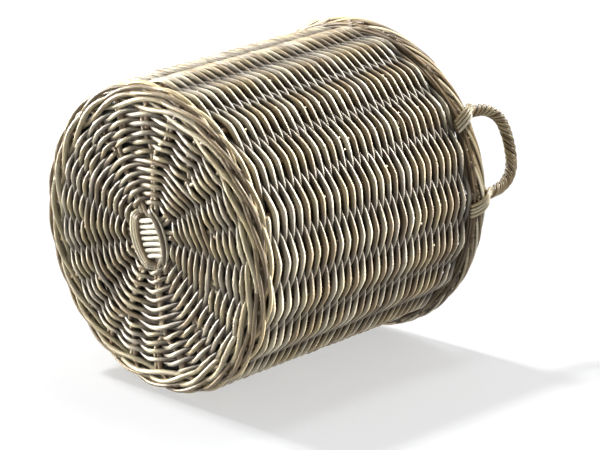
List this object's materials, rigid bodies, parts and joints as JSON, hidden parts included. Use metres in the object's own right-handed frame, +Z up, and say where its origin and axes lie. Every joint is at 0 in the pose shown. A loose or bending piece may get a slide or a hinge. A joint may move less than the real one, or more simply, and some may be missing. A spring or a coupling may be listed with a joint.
{
  "type": "planter basket",
  "caption": "Round woven cane basket with a slightly flared wall, a flat woven base, a rolled border, twisted rope handles and a dark plastic liner, for holding a plant pot.",
  "frame": {"origin": "on the ground under the middle of the basket", "axes": "+Z up through the mouth, the two handles on the X axis"},
  "size_m": [0.4, 0.3988, 0.4408],
  "materials": {
    "grey_cane": "dry weathered grey-brown cane, satin where worn",
    "brown_cane": "dry brown cane, in shade between the weavers",
    "pale_cane": "peeled cream cane, dry",
    "silver_cane": "silvery grey-tan cane, satin",
    "liner_plastic": "thin black plastic sheet, satin and a little creased"
  },
  "bodies": {
    "root": {"base_stick_1": "pale_cane", "base_stick_2": "pale_cane", "base_stick_3": "pale_cane", "base_stick_4": "pale_cane", "base_stick_5": "pale_cane", "base_stick_6": "pale_cane", "base_stick_7": "pale_cane", "cross_stick_1": "pale_cane", "cross_stick_2": "pale_cane", "cross_stick_3": "pale_cane", "cross_stick_4": "pale_cane", "side_stake_1": "brown_cane", "side_stake_2": "brown_cane", "side_stake_3": "brown_cane", "side_stake_4": "brown_cane", "side_stake_5": "brown_cane", "side_stake_6": "brown_cane", "side_stake_7": "brown_cane", "side_stake_8": "brown_cane", "side_stake_9": "brown_cane", "side_stake_10": "brown_cane", "side_stake_11": "brown_cane", "side_stake_12": "brown_cane", "side_stake_13": "brown_cane", "side_stake_14": "brown_cane", "side_stake_15": "brown_cane", "side_stake_16": "brown_cane", "side_stake_17": "brown_cane", "side_stake_18": "brown_cane", "side_stake_19": "brown_cane", "side_stake_20": "brown_cane", "side_stake_21": "brown_cane", "slath_binding": "brown_cane", "base_weave_inner": "grey_cane", "base_weave_outer": "grey_cane", "base_edge_wale": "grey_cane", "foot_wale": "grey_cane", "wall_weave": "grey_cane", "rim_border": "grey_cane", "liner": "liner_plastic", "handle_1_core": "brown_cane", "handle_1_rope": "silver_cane", "handle_1_binding_1": "silver_cane", "handle_1_binding_2": "silver_cane", "handle_2_core": "brown_cane", "handle_2_rope": "silver_cane", "handle_2_binding_1": "silver_cane", "handle_2_binding_2": "silver_cane"}
  },
  "joints": []
}
